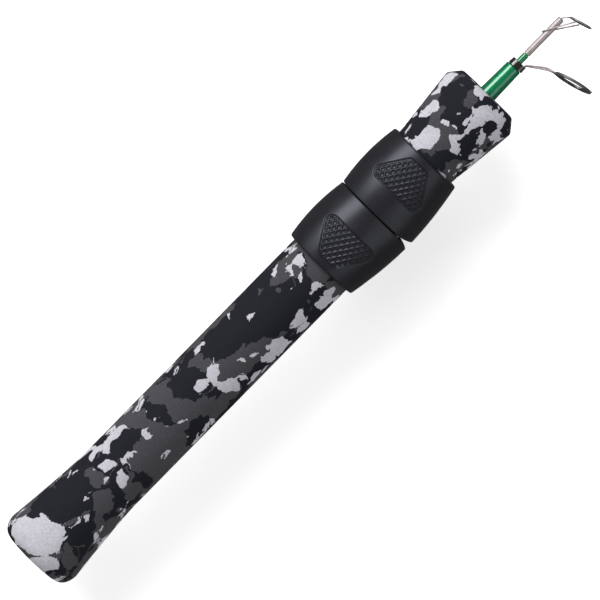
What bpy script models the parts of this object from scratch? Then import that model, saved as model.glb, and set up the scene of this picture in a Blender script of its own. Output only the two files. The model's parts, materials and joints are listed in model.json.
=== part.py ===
"""Telescopic ice fishing rod, closed: a foam grip with two sliding reel rings, and two rod sections inside it.

The rod's axis is X. The origin is the centre of the butt cap's face, and +X runs to the tip.
The rings' hoods point to -Y, where the reel hangs. The line guides point to -Y, turned up by GUIDE_TURN and TIP_TURN.
Each moving group of pieces hangs on an empty that sits on its joint's axis.
"""

import math

import bmesh
import bpy
from mathutils import Vector

MM = 0.001
GAP = 0.2 * MM  # left between neighbours that are glued or pressed together on the real rod
SEGMENTS = 32  # flats around the grip and the rings
TUBE_SEGMENTS = 24
WIRE_SEGMENTS = 8

# Grip: one foam piece, waisted between a flared butt and a flared nose.
GRIP_LENGTH = 228.2 * MM
GRIP_START = 0.3 * MM  # the butt cap stands this much proud of the foam
GRIP_RADIUS = 12.7 * MM
BUTT_RADIUS = 15.36 * MM
BUTT_FACE_RADIUS = 11.2 * MM
BUTT_WIDEST_X = 6.3 * MM
BUTT_FLARE_END_X = 38.5 * MM
BUTT_FLARE_POWER = 1.35
NOSE_RADIUS = 15.55 * MM
NOSE_FLARE_X = 197.6 * MM
NOSE_WIDEST_X = 223.7 * MM
NOSE_FACE_RADIUS = 11.9 * MM
NOSE_HOLE_RADIUS = 3.7 * MM
NOSE_HOLE_LENGTH = 3.0 * MM

# Core tube, in which the sections are stored, and the bush at its mouth.
CORE_OUTER = 4.9 * MM
CORE_INNER = 4.3 * MM
CORE_START = 9.4 * MM
CORE_END = GRIP_LENGTH - NOSE_HOLE_LENGTH - GAP
BUSH_LENGTH = 9.0 * MM
BUSH_INNER = 3.6 * MM

# Screw cap in the butt, its sleeve, gasket and cushion.
CAP_FLANGE_RADIUS = 8.0 * MM
CAP_FLANGE_LENGTH = 1.5 * MM
PLUG_RADIUS = 4.85 * MM
PLUG_ROOT_RADIUS = 4.55 * MM
PLUG_END = 8.4 * MM
THREAD_PITCH = 1.5 * MM
THREAD_TURNS = 4
SPANNER_HOLE_RADIUS = 0.8 * MM
SPANNER_HOLE_OFFSET = 4.8 * MM
SPANNER_HOLE_DEPTH = 1.0 * MM
GASKET_LENGTH = 1.0 * MM
SLEEVE_OUTER = 6.6 * MM
SLEEVE_INNER = CORE_OUTER + GAP
SLEEVE_END = 17.0 * MM
CUSHION_RADIUS = 4.0 * MM
CUSHION_LENGTH = 4.2 * MM

# Reel rings: two of the same barrel-shaped ring, mouth to mouth, each with a hood over one end of the reel foot.
RING_LENGTH = 25.75 * MM
RING_BORE = GRIP_RADIUS + 0.25 * MM
RING_END_RADIUS = 14.7 * MM
RING_BULGE = 1.14 * MM
HOOD_RISE = 2.75 * MM
HOOD_POWER = 1.75
HOOD_HALF_ANGLE = math.radians(75)
POCKET_DEPTH = 3.1 * MM
POCKET_START = 0.15  # share of the ring's length, from its outer end
POCKET_HALF_ANGLE = math.radians(50)
MOUTH_RELIEF = 1.3 * MM
RELIEF_HALF_ANGLE = math.radians(42)
RING_EDGE = 0.6 * MM
REAR_RING_X = 144.9 * MM
FRONT_RING_X = 197.1 * MM

# Outer section: a tube with a necked tip, and the collar on its butt.
OUTER_RADIUS = 3.4 * MM
OUTER_BORE = 2.6 * MM
OUTER_START = 13.0 * MM
OUTER_TAPER_X = 225.0 * MM
OUTER_TIP_RADIUS = 3.0 * MM
OUTER_TIP_EDGE = 0.25 * MM
NECK_X = 241.3 * MM
NECK_RADIUS = 2.2 * MM
NECK_BORE = 1.75 * MM
NECK_BORE_X = 237.3 * MM
OUTER_END = 243.8 * MM
OUTER_COLLAR_RADIUS = 4.1 * MM
OUTER_COLLAR_LENGTH = 10.0 * MM

# Line guide on the outer section: a binding, a wire frame with a foot, and a ceramic ring.
GUIDE_TURN = math.radians(27)
GUIDE_TILT = math.radians(16.2)
GUIDE_X = 251.8 * MM
GUIDE_HEIGHT = 20.8 * MM
BINDING_START = 241.4 * MM
BINDING_END = 243.9 * MM
BINDING_RADIUS = 2.75 * MM
BINDING_TIP_RADIUS = 2.55 * MM
BINDING_BUMP_RADIUS = 3.45 * MM
BINDING_BUMP_HALF_ANGLE = math.radians(60)
FOOT_START = 241.6 * MM
FOOT_END = 244.5 * MM
FOOT_RADIUS = 2.85 * MM
FOOT_WIDTH = 1.5 * MM
FOOT_THICKNESS = 0.5 * MM
ARM_WIRE = 0.32 * MM
ARM_SPREAD_AT_FOOT = 0.42 * MM
ARM_SPREAD_AT_BEND = 1.6 * MM
ARM_SPREAD_AT_HOOP = 2.2 * MM
ARM_BEND_X = 249.4 * MM
ARM_BEND_HEIGHT = 10.4 * MM
HOOP_OUTER = 7.2 * MM
HOOP_WALL = 0.45 * MM
HOOP_WIDTH = 0.9 * MM
HOOP_TAB = 0.8 * MM
HOOP_TAB_WIRE = 0.3 * MM
INSERT_WALL = 1.1 * MM
INSERT_WIDTH = 1.1 * MM
INSERT_SHIFT = 0.05 * MM

# Tip section: a tapered solid rod, its collar, and the tip-top.
TIP_TURN = math.radians(11)
TIP_ROD_START = 13.0 * MM
TIP_ROD_RADIUS = 1.6 * MM
TIP_ROD_NOSE_RADIUS = 1.2 * MM
TIP_ROD_SPIGOT_RADIUS = 0.8 * MM
TIP_ROD_END = 261.5 * MM
TIP_COLLAR_RADIUS = 2.4 * MM
TIP_COLLAR_LENGTH = 8.0 * MM
TOP_TUBE_START = 247.6 * MM
TOP_TUBE_END = 265.0 * MM
TOP_TUBE_RADIUS = 1.25 * MM
TOP_TUBE_BORE = 0.95 * MM
TOP_X = 268.5 * MM
TOP_HEIGHT = 5.9 * MM
TOP_HOOP_OUTER = 4.35 * MM
TOP_HOOP_WALL = 0.4 * MM
TOP_HOOP_WIDTH = 0.6 * MM
TOP_INSERT_WALL = 0.4 * MM
TOP_INSERT_WIDTH = 0.8 * MM
BRACE_WIRE = 0.28 * MM
BRACE_X = 257.0 * MM
BRACE_END_ANGLE = math.radians(76)
STEM_WIRE = 0.3 * MM

FOAM = ("foam", (0.09, 0.09, 0.10), 0.85, 0.0)
GLASS_FIBRE = ("glass_fibre", (0.30, 0.31, 0.28), 0.5, 0.0)
NYLON = ("nylon", (0.80, 0.79, 0.74), 0.5, 0.0)
BLACK_PLASTIC = ("black_plastic", (0.02, 0.021, 0.025), 0.45, 0.0)
RUBBER = ("rubber", (0.015, 0.015, 0.015), 0.8, 0.0)
GREEN_BLANK = ("green_blank", (0.0, 0.22, 0.09), 0.2, 0.3)
BLACK_THREAD = ("black_thread", (0.012, 0.011, 0.011), 0.25, 0.0)
STEEL = ("steel", (0.62, 0.58, 0.57), 0.25, 1.0)
CERAMIC = ("ceramic", (0.03, 0.03, 0.035), 0.15, 0.0)


def clear_scene():
    for obj in list(bpy.data.objects):
        bpy.data.objects.remove(obj)


def material(finish):
    name, colour, roughness, metallic = finish
    found = bpy.data.materials.get(name)
    if found:
        return found
    made = bpy.data.materials.new(name)
    made.use_nodes = True
    shader = made.node_tree.nodes["Principled BSDF"]
    shader.inputs["Base Color"].default_value = (*colour, 1.0)
    shader.inputs["Roughness"].default_value = roughness
    shader.inputs["Metallic"].default_value = metallic
    return made


def add_axis(name, parent=None, turn=0.0):
    """An empty on the rod's axis that carries one moving group."""
    empty = bpy.data.objects.new(name, None)
    bpy.context.scene.collection.objects.link(empty)
    empty.parent = parent
    empty.rotation_euler.x = turn
    return empty


def add_object(name, bm, finish, parent):
    """One named piece from a bmesh. Round faces are shaded smooth, with sharp edges where they turn by over 35 degrees."""
    bmesh.ops.recalc_face_normals(bm, faces=bm.faces)
    mesh = bpy.data.meshes.new(name)
    bm.to_mesh(mesh)
    bm.free()
    mesh.shade_smooth()
    mesh.set_sharp_from_angle(angle=math.radians(35))
    mesh.materials.append(material(finish))
    obj = bpy.data.objects.new(name, mesh)
    bpy.context.scene.collection.objects.link(obj)
    obj.parent = parent
    return obj


def helper(obj):
    """Marks a shape that only cuts or joins another one."""
    obj.hide_render = True
    obj.display_type = "WIRE"
    return obj


def add_boolean(obj, operation, other):
    modifier = obj.modifiers.new(operation.lower() + "_" + other.name, "BOOLEAN")
    modifier.operation = operation
    modifier.object = helper(other)


def turned(name, outline, finish, parent, segments=TUBE_SEGMENTS):
    """Spins an outline of (x, radius) points round X. An outline that leaves the axis alone is a closed loop."""
    bm = bmesh.new()
    start = math.pi / segments  # a flat, and not an edge, lies lowest
    verts = [bm.verts.new((x, r * math.cos(start), r * math.sin(start))) for x, r in outline]
    edges = [bm.edges.new(pair) for pair in zip(verts, verts[1:])]
    if outline[0][1] > 0:
        edges.append(bm.edges.new((verts[-1], verts[0])))
    bmesh.ops.spin(
        bm, geom=verts + edges, cent=(0, 0, 0), axis=(1, 0, 0), angle=2 * math.pi, steps=segments, use_merge=True
    )
    bmesh.ops.remove_doubles(bm, verts=bm.verts, dist=0.001 * MM)
    return add_object(name, bm, finish, parent)


def tube_outline(start, end, inner, outer):
    return [(start, inner), (start, outer), (end, outer), (end, inner)]


def swept_wire(name, path, radius, finish, parent):
    """A round wire along a path of points, closed at both ends."""
    bm = bmesh.new()
    loops = []
    side = (path[1] - path[0]).orthogonal().normalized()
    for i, point in enumerate(path):
        ahead = path[min(i + 1, len(path) - 1)] - path[max(i - 1, 0)]
        ahead.normalize()
        side = (side - ahead * side.dot(ahead)).normalized()
        other = ahead.cross(side)
        loop = []
        for k in range(WIRE_SEGMENTS):
            angle = 2 * math.pi * k / WIRE_SEGMENTS
            loop.append(bm.verts.new(point + (side * math.cos(angle) + other * math.sin(angle)) * radius))
        loops.append(loop)
    for a, b in zip(loops, loops[1:]):
        for k in range(WIRE_SEGMENTS):
            bm.faces.new((a[k - 1], a[k], b[k], b[k - 1]))
    bm.faces.new(loops[0])
    bm.faces.new(loops[-1])
    return add_object(name, bm, finish, parent)


def rounded_path(corners, radius, steps=4):
    """The corners' polyline with each inner corner turned into a curve that starts radius before it."""
    path = [corners[0]]
    for before, corner, after in zip(corners, corners[1:], corners[2:]):
        start = corner + (before - corner).normalized() * radius
        end = corner + (after - corner).normalized() * radius
        for k in range(steps + 1):
            t = k / steps
            path.append(start * (1 - t) ** 2 + corner * 2 * t * (1 - t) + end * t**2)
    return path + [corners[-1]]


def rod_point(x, height, side=0.0):
    """A point at a height over the rod's axis towards the guides, and to one side of the guides' plane."""
    return Vector((x, -height, side))


def grip_outline():
    """The foam's outside from the butt face to the nose face, then its stepped bore back to the butt."""
    outside = []
    for k in range(6):
        angle = k * math.pi / 10
        x = BUTT_WIDEST_X - (BUTT_WIDEST_X - GRIP_START) * math.cos(angle)
        outside.append((x, BUTT_FACE_RADIUS + (BUTT_RADIUS - BUTT_FACE_RADIUS) * math.sin(angle)))
    for k in range(1, 7):
        u = k / 6
        x = BUTT_WIDEST_X + (BUTT_FLARE_END_X - BUTT_WIDEST_X) * u
        outside.append((x, GRIP_RADIUS + (BUTT_RADIUS - GRIP_RADIUS) * (1 - u) ** BUTT_FLARE_POWER))
    edge = 0.5 * MM  # softens the two corners of the nose's chamfer
    outside += [
        (NOSE_FLARE_X, GRIP_RADIUS),
        (NOSE_WIDEST_X - edge, NOSE_RADIUS - 0.1 * edge),
        (NOSE_WIDEST_X + edge, NOSE_RADIUS - 0.4 * edge),
        (GRIP_LENGTH - edge, NOSE_FACE_RADIUS + 0.6 * edge),
        (GRIP_LENGTH, NOSE_FACE_RADIUS - 0.4 * edge),
    ]
    core = CORE_OUTER + GAP
    counterbore = SLEEVE_OUTER + GAP
    sleeve_end = SLEEVE_END + GAP
    flange = CAP_FLANGE_RADIUS + GAP
    flange_end = CAP_FLANGE_LENGTH + GAP
    inside = [
        (GRIP_LENGTH, NOSE_HOLE_RADIUS),
        (GRIP_LENGTH - NOSE_HOLE_LENGTH, NOSE_HOLE_RADIUS),
        (GRIP_LENGTH - NOSE_HOLE_LENGTH, core),
        (sleeve_end, core),
        (sleeve_end, counterbore),
        (flange_end, counterbore),
        (flange_end, flange),
        (GRIP_START, flange),
    ]
    return outside + inside


def add_handle():
    turned("grip_foam", grip_outline(), FOAM, None, SEGMENTS)
    turned("core_tube", tube_outline(CORE_START, CORE_END, CORE_INNER, CORE_OUTER), GLASS_FIBRE, None)
    bush = tube_outline(CORE_END - BUSH_LENGTH, CORE_END, BUSH_INNER, CORE_INNER - GAP)
    turned("mouth_bush", bush, NYLON, None)
    sleeve_start = CAP_FLANGE_LENGTH + GASKET_LENGTH + 2 * GAP
    turned("butt_sleeve", tube_outline(sleeve_start, SLEEVE_END, SLEEVE_INNER, SLEEVE_OUTER), NYLON, None)


def thread_outline(start):
    """The plug's crests and roots, from its flange to its end. The crests are rings and stand for the thread."""
    quarter = THREAD_PITCH / 4
    points = []
    for k in range(THREAD_TURNS):
        x = start + k * THREAD_PITCH
        points += [(x, PLUG_ROOT_RADIUS), (x + quarter, PLUG_RADIUS), (x + 2 * quarter, PLUG_RADIUS)]
        points.append((x + 3 * quarter, PLUG_ROOT_RADIUS))
    return points


def spanner_hole(side, parent):
    bm = bmesh.new()
    bmesh.ops.create_cone(
        bm, cap_ends=True, segments=12, radius1=SPANNER_HOLE_RADIUS, radius2=SPANNER_HOLE_RADIUS,
        depth=2 * SPANNER_HOLE_DEPTH,
    )
    hole = add_object(f"spanner_hole_{side:+d}", bm, BLACK_PLASTIC, parent)
    hole.rotation_euler.y = math.pi / 2
    hole.location.y = side * SPANNER_HOLE_OFFSET
    return hole


def add_butt_cap():
    gasket_axis = add_axis("butt_gasket_axis")
    cap_axis = add_axis("butt_cap_axis", gasket_axis)
    gasket_start = CAP_FLANGE_LENGTH + GAP
    gasket = tube_outline(gasket_start, gasket_start + GASKET_LENGTH, PLUG_RADIUS + GAP, SLEEVE_OUTER)
    turned("butt_gasket", gasket, RUBBER, gasket_axis)
    thread_start = CAP_FLANGE_LENGTH + GASKET_LENGTH / 2
    outline = [(0.0, 0.0), (0.0, CAP_FLANGE_RADIUS - 0.3 * MM), (0.3 * MM, CAP_FLANGE_RADIUS)]
    outline += [(CAP_FLANGE_LENGTH, CAP_FLANGE_RADIUS), (CAP_FLANGE_LENGTH, PLUG_ROOT_RADIUS)]
    outline += thread_outline(thread_start)
    outline += [(PLUG_END, PLUG_ROOT_RADIUS), (PLUG_END, 0.0)]
    cap = turned("butt_cap", outline, BLACK_PLASTIC, cap_axis)
    for side in (-1, 1):
        add_boolean(cap, "DIFFERENCE", spanner_hole(side, cap_axis))
    start = PLUG_END + GAP
    cushion = [(start, 0.0), (start, CUSHION_RADIUS), (start + CUSHION_LENGTH, CUSHION_RADIUS)]
    turned("butt_cushion", cushion + [(start + CUSHION_LENGTH, 0.0)], RUBBER, cap_axis)


def hump(angle, half_angle):
    """1 at angle 0, easing to 0 at the half angle and beyond."""
    if abs(angle) >= half_angle:
        return 0.0
    return 0.5 + 0.5 * math.cos(math.pi * angle / half_angle)


def ring_outer_radius(u, angle):
    barrel = RING_END_RADIUS + RING_BULGE * 4 * u * (1 - u)
    return barrel + HOOD_RISE * u**HOOD_POWER * hump(angle, HOOD_HALF_ANGLE)


def ring_inner_radius(u, angle):
    depth = POCKET_DEPTH * max(0.0, (u - POCKET_START) / (1 - POCKET_START)) ** 1.3
    return RING_BORE + depth * hump(angle, POCKET_HALF_ANGLE)


def ring_section(angle):
    """The ring's wall at an angle from the hood, as a closed loop of (x, radius). x runs from outer end to mouth."""
    length = RING_LENGTH - MOUTH_RELIEF * hump(angle, RELIEF_HALF_ANGLE)
    start, end = RING_EDGE, length - RING_EDGE
    steps = 8
    stations = [start + (end - start) * k / steps for k in range(steps + 1)]
    outer = [(x, ring_outer_radius(x / RING_LENGTH, angle)) for x in stations]
    inner = [(x, ring_inner_radius(x / RING_LENGTH, angle)) for x in (length, *stations[::-2], 0.0)]
    soft = RING_EDGE / 3
    before = [(0.0, outer[0][1] - RING_EDGE), (soft, outer[0][1] - soft)]
    after = [(length - soft, outer[-1][1] - soft), (length, outer[-1][1] - RING_EDGE)]
    return before + outer + after + inner


def add_reel_ring(name, x, faces_back, parent):
    bm = bmesh.new()
    loops = []
    for k in range(SEGMENTS):
        angle = 2 * math.pi * (k + 0.5) / SEGMENTS - math.pi
        loops.append(
            [bm.verts.new((x, -r * math.cos(angle), r * math.sin(angle))) for x, r in ring_section(angle)]
        )
    count = len(loops[0])
    for a, b in zip(loops, loops[1:] + loops[:1]):
        for i in range(count):
            bm.faces.new((a[i - 1], a[i], b[i], b[i - 1]))
    ring = add_object(name, bm, BLACK_PLASTIC, parent)
    ring.location.x = x
    if faces_back:
        ring.rotation_euler.y = math.pi
    return ring


def add_reel_rings():
    front_axis = add_axis("front_ring_axis")
    rear_axis = add_axis("rear_ring_axis", front_axis)
    add_reel_ring("front_reel_ring", FRONT_RING_X, True, front_axis)
    add_reel_ring("rear_reel_ring", REAR_RING_X, False, rear_axis)


def ring_band(name, inner, outer, width, shift, finish, parent):
    """A round band with softened edges, standing round X."""
    soft = min(width, outer - inner) / 4
    half = width / 2
    corners = [(-half, inner, 1, 1), (-half, outer, 1, -1), (half, outer, -1, -1), (half, inner, -1, 1)]
    outline = []
    for i, (x, r, along, across) in enumerate(corners):
        pair = [(x + shift, r + across * soft), (x + along * soft + shift, r)]
        outline += pair if i % 2 else pair[::-1]
    return turned(name, outline, finish, parent, SEGMENTS)


def place_eye(obj, x, height):
    """Stands a band at a place over the rod, leaning its far side towards the tip."""
    obj.location = rod_point(x, height)
    obj.rotation_euler.z = GUIDE_TILT


def eye_point(x, height, radius, angle, forward=0.0):
    """A point of an eye's circle: angle 0 is nearest the rod. Forward is along the eye's own axis."""
    up = -radius * math.cos(angle)
    along = math.cos(GUIDE_TILT) * forward + math.sin(GUIDE_TILT) * up
    rise = math.cos(GUIDE_TILT) * up - math.sin(GUIDE_TILT) * forward
    return rod_point(x + along, height + rise, radius * math.sin(angle))


def foot_box(name, margin, parent):
    """The guide's flat foot, or with a margin the channel that it lies in."""
    bm = bmesh.new()
    bmesh.ops.create_cube(bm, size=1.0)
    length = FOOT_END - FOOT_START
    size = Vector((length + 4 * margin, FOOT_THICKNESS + 2 * margin, FOOT_WIDTH + 2 * margin))
    bmesh.ops.scale(bm, vec=size, verts=bm.verts)
    foot = add_object(name, bm, STEEL, parent)
    foot.location = rod_point((FOOT_START + FOOT_END) / 2, FOOT_RADIUS)
    return foot


def add_binding(parent):
    """The thread binding: a ring over the outer section's neck, humped over the guide's foot."""
    bm = bmesh.new()
    loops = []
    soft = 0.15 * MM
    for k in range(SEGMENTS):
        angle = 2 * math.pi * (k + 0.5) / SEGMENTS - math.pi
        over_foot = hump(angle, BINDING_BUMP_HALF_ANGLE)
        first = BINDING_RADIUS + (BINDING_BUMP_RADIUS - BINDING_RADIUS) * over_foot
        last = BINDING_TIP_RADIUS + (BINDING_BUMP_RADIUS - BINDING_TIP_RADIUS) * over_foot
        section = [(BINDING_START, NECK_RADIUS + GAP / 2), (BINDING_START, first - soft)]
        section += [(BINDING_START + soft, first), (BINDING_END - soft, last)]
        section += [(BINDING_END, last - soft), (BINDING_END, NECK_RADIUS + GAP / 2)]
        loops.append([bm.verts.new((x, -r * math.cos(angle), r * math.sin(angle))) for x, r in section])
    for a, b in zip(loops, loops[1:] + loops[:1]):
        for i in range(len(a)):
            bm.faces.new((a[i - 1], a[i], b[i], b[i - 1]))
    binding = add_object("guide_binding", bm, BLACK_THREAD, parent)
    add_boolean(binding, "DIFFERENCE", foot_box("foot_channel", 0.1 * MM, parent))


def add_guide(parent):
    add_binding(parent)
    inner = HOOP_OUTER - HOOP_WALL
    frame = ring_band("guide_frame", inner, HOOP_OUTER, HOOP_WIDTH, 0.0, STEEL, parent)
    place_eye(frame, GUIDE_X, GUIDE_HEIGHT)
    add_boolean(frame, "UNION", foot_box("guide_foot", 0.0, parent))
    for side in (-1, 1):
        reach = math.asin(side * ARM_SPREAD_AT_HOOP / HOOP_OUTER)
        corners = [
            rod_point(FOOT_END - 1.2 * MM, FOOT_RADIUS, side * ARM_SPREAD_AT_FOOT),
            rod_point(FOOT_END, FOOT_RADIUS, side * ARM_SPREAD_AT_FOOT),
            rod_point(ARM_BEND_X, ARM_BEND_HEIGHT, side * ARM_SPREAD_AT_BEND),
            eye_point(GUIDE_X, GUIDE_HEIGHT, HOOP_OUTER - HOOP_WALL / 2, reach),
        ]
        arm = swept_wire(f"guide_arm_{side:+d}", rounded_path(corners, 0.6 * MM), ARM_WIRE, STEEL, parent)
        add_boolean(frame, "UNION", arm)
    tab_path = [eye_point(GUIDE_X, GUIDE_HEIGHT, r, math.pi) for r in (HOOP_OUTER - HOOP_WALL / 2, HOOP_OUTER + HOOP_TAB)]
    tab = swept_wire("guide_tab", tab_path, HOOP_TAB_WIRE, STEEL, parent)
    add_boolean(frame, "UNION", tab)
    outer = inner - GAP / 2
    insert = ring_band("guide_insert", outer - INSERT_WALL, outer, INSERT_WIDTH, INSERT_SHIFT, CERAMIC, parent)
    place_eye(insert, GUIDE_X, GUIDE_HEIGHT)


def add_outer_section():
    slide_axis = add_axis("outer_slide_axis")
    collar = tube_outline(OUTER_START, OUTER_START + OUTER_COLLAR_LENGTH, OUTER_RADIUS + GAP, OUTER_COLLAR_RADIUS)
    turned("outer_butt_collar", collar, BLACK_PLASTIC, slide_axis)
    turn_axis = add_axis("outer_turn_axis", slide_axis, -GUIDE_TURN)
    outline = [(OUTER_START, OUTER_BORE), (OUTER_START, OUTER_RADIUS), (OUTER_TAPER_X, OUTER_RADIUS)]
    outline += [(NECK_X - OUTER_TIP_EDGE, OUTER_TIP_RADIUS), (NECK_X, OUTER_TIP_RADIUS - OUTER_TIP_EDGE)]
    outline += [(NECK_X, NECK_RADIUS), (OUTER_END, NECK_RADIUS), (OUTER_END, NECK_BORE)]
    outline += [(NECK_BORE_X, NECK_BORE), (NECK_BORE_X - 2 * MM, OUTER_BORE)]
    turned("outer_tube", outline, GREEN_BLANK, turn_axis)
    add_guide(turn_axis)
    return turn_axis


def add_tip_top(parent):
    plug_x = TOP_TUBE_END - 2.5 * MM
    tube = [(TOP_TUBE_START, TOP_TUBE_BORE), (TOP_TUBE_START, TOP_TUBE_RADIUS)]
    tube += [(TOP_TUBE_END - 0.4 * MM, TOP_TUBE_RADIUS), (TOP_TUBE_END, TOP_TUBE_RADIUS - 0.4 * MM)]
    tube += [(TOP_TUBE_END, STEM_WIRE + GAP / 2), (plug_x, STEM_WIRE + GAP / 2), (plug_x, TOP_TUBE_BORE)]
    turned("tip_top_tube", tube, STEEL, parent)

    inner = TOP_HOOP_OUTER - TOP_HOOP_WALL
    hoop = ring_band("tip_top_hoop", inner, TOP_HOOP_OUTER, TOP_HOOP_WIDTH, 0.0, STEEL, parent)
    place_eye(hoop, TOP_X, TOP_HEIGHT)
    near_side = eye_point(TOP_X, TOP_HEIGHT, TOP_HOOP_OUTER - TOP_HOOP_WALL / 2, 0.0)
    corners = [rod_point(plug_x + 0.2 * MM, 0.0), rod_point(TOP_TUBE_END + 0.5 * MM, 0.0), near_side]
    stem = swept_wire("tip_top_stem", rounded_path(corners, 0.4 * MM), STEM_WIRE, STEEL, parent)
    add_boolean(hoop, "UNION", stem)

    reach = TOP_TUBE_RADIUS + BRACE_WIRE + GAP / 2
    behind = -TOP_HOOP_WIDTH / 2 - BRACE_WIRE - GAP / 2
    radius = TOP_HOOP_OUTER - TOP_HOOP_WALL / 2
    ends = [eye_point(TOP_X, TOP_HEIGHT, radius, side * BRACE_END_ANGLE, behind) for side in (-1, 1)]
    slope = (ends[0].x - BRACE_X) / (-ends[0].y + reach)
    bend = []
    for k in range(9):
        angle = math.pi * (k / 8 - 0.5)
        height = -reach * math.cos(angle)
        bend.append(rod_point(BRACE_X + slope * (height + reach), height, reach * math.sin(angle)))
    swept_wire("tip_top_brace", [ends[0], *bend, ends[1]], BRACE_WIRE, STEEL, parent)

    outer = inner - GAP / 2
    insert = ring_band(
        "tip_top_insert", outer - TOP_INSERT_WALL, outer, TOP_INSERT_WIDTH, INSERT_SHIFT / 2, CERAMIC, parent
    )
    place_eye(insert, TOP_X, TOP_HEIGHT)


def add_tip_section(outer_axis):
    slide_axis = add_axis("tip_slide_axis", outer_axis)
    collar_end = TIP_ROD_START + TIP_COLLAR_LENGTH
    collar = tube_outline(TIP_ROD_START, collar_end, TIP_ROD_RADIUS + GAP / 2, TIP_COLLAR_RADIUS)
    turned("tip_butt_collar", collar, BLACK_PLASTIC, slide_axis)
    turn_axis = add_axis("tip_turn_axis", slide_axis, GUIDE_TURN - TIP_TURN)
    outline = [(TIP_ROD_START, 0.0), (TIP_ROD_START, TIP_ROD_RADIUS), (collar_end + 12 * MM, TIP_ROD_RADIUS)]
    outline += [(OUTER_END, TIP_ROD_NOSE_RADIUS), (TOP_TUBE_START - GAP, TIP_ROD_NOSE_RADIUS)]
    outline += [(TOP_TUBE_START - GAP, TIP_ROD_SPIGOT_RADIUS), (TIP_ROD_END, TIP_ROD_SPIGOT_RADIUS)]
    turned("tip_rod", outline + [(TIP_ROD_END, 0.0)], GREEN_BLANK, turn_axis)
    add_tip_top(turn_axis)


def main():
    clear_scene()
    add_handle()
    add_butt_cap()
    add_reel_rings()
    add_tip_section(add_outer_section())


main()
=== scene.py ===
"""Looks for the telescopic ice fishing rod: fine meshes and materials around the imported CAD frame.

The rod's axis is X, from the butt face at 0 to the tip. The reel hoods point to -Y. The line guides do too, turned
up about X by GUIDE_TURN and TIP_TURN. Everything is in metres, unless a name or comment says otherwise.
"""

import json
import math

import bmesh
import bpy
from mathutils import Matrix, Vector


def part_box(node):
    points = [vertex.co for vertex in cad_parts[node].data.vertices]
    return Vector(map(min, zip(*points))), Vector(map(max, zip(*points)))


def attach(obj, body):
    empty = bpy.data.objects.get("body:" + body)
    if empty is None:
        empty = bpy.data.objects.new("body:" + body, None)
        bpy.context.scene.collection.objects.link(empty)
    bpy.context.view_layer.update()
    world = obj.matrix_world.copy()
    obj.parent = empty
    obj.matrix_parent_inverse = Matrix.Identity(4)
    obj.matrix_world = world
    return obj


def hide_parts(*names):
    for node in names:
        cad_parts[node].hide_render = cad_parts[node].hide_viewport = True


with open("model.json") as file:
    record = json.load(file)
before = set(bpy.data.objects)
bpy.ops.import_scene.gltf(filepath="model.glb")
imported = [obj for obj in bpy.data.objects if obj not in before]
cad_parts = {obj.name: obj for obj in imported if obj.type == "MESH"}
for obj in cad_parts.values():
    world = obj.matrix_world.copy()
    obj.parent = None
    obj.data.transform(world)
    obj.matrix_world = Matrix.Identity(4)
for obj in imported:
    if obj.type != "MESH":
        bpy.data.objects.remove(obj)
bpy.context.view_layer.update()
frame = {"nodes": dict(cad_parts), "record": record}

MM = 0.001
GAP = 0.2 * MM
FINE = 96  # segments round the grip and the guides' rings
MEDIUM = 64
SLIM = 48  # segments round the tip section
SHARP_ANGLE = math.radians(40)  # edges sharper than this are shaded sharp
SMOOTH_ANGLE = math.radians(150)  # an outline's corner more open than this stays as it is
WELD_DISTANCE = 0.0005 * MM
POLE_RADIUS = 1e-7  # an outline point nearer the axis than this becomes one vertex
CORNER_ANGLES = (0, 0.39, 0.79, 1.18, 1.57)  # a quarter turn in four steps
WIRE_END_ANGLES = (0.0, 0.45, 0.9, 1.3)  # of the rounded end of a wire

# Grip
GRIP_START, GRIP_END = (corner.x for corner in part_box("grip_foam"))
GRIP_RADIUS = 12.7 * MM
BUTT_RADIUS = 15.36 * MM
BUTT_FACE_RADIUS = 11.2 * MM
BUTT_WIDEST_X = 6.3 * MM
BUTT_FLARE_END_X = 38.5 * MM
BUTT_FLARE_POWER = 1.35
NOSE_RADIUS = 15.55 * MM
NOSE_FLARE_X = 197.6 * MM
NOSE_WIDEST_X = 223.7 * MM
NOSE_FACE_RADIUS = 11.9 * MM
NOSE_EASE = 2.0 * MM  # before and after the start of the nose flare
NOSE_EDGE = 1.0 * MM
NOSE_HOLE_RADIUS = 3.7 * MM
NOSE_HOLE_LENGTH = 3.0 * MM
CORE_OUTER = 4.9 * MM

# Butt cap, sleeve, gasket
FLANGE_RADIUS = 8.0 * MM
FLANGE_LENGTH = 1.5 * MM
PLUG_RADIUS = 4.85 * MM
PLUG_ROOT_RADIUS = 4.55 * MM
PLUG_END = 8.4 * MM
CAP_EDGE = 0.35 * MM
SCREW_PITCH = 1.5 * MM
SCREW_START = FLANGE_LENGTH + 0.4 * MM
SCREW_END = PLUG_END - 0.5 * MM
SCREW_FADE = 0.8 * MM
SCREW_CREST = 1.6  # above 1, so that the thread's crest is flat
SCREW_FLANK = 3.2 * 1.3  # how steeply its flanks fall
SCREW_STEPS = 70
SPANNER_HOLE_SHIFT = 4.8 * MM
SPANNER_HOLE = [  # x and radius in mm: a cone above the face, the hole, and a shallow cone at its end
    (-1.0, 0.0),
    (-1.0, 1.95),
    (0.0, 0.95),
    (0.15, 0.8),
    (1.0, 0.8),
    (1.2, 0.0),
]
SLEEVE_OUTER = 6.6 * MM
SLEEVE_END = 17.0 * MM

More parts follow.
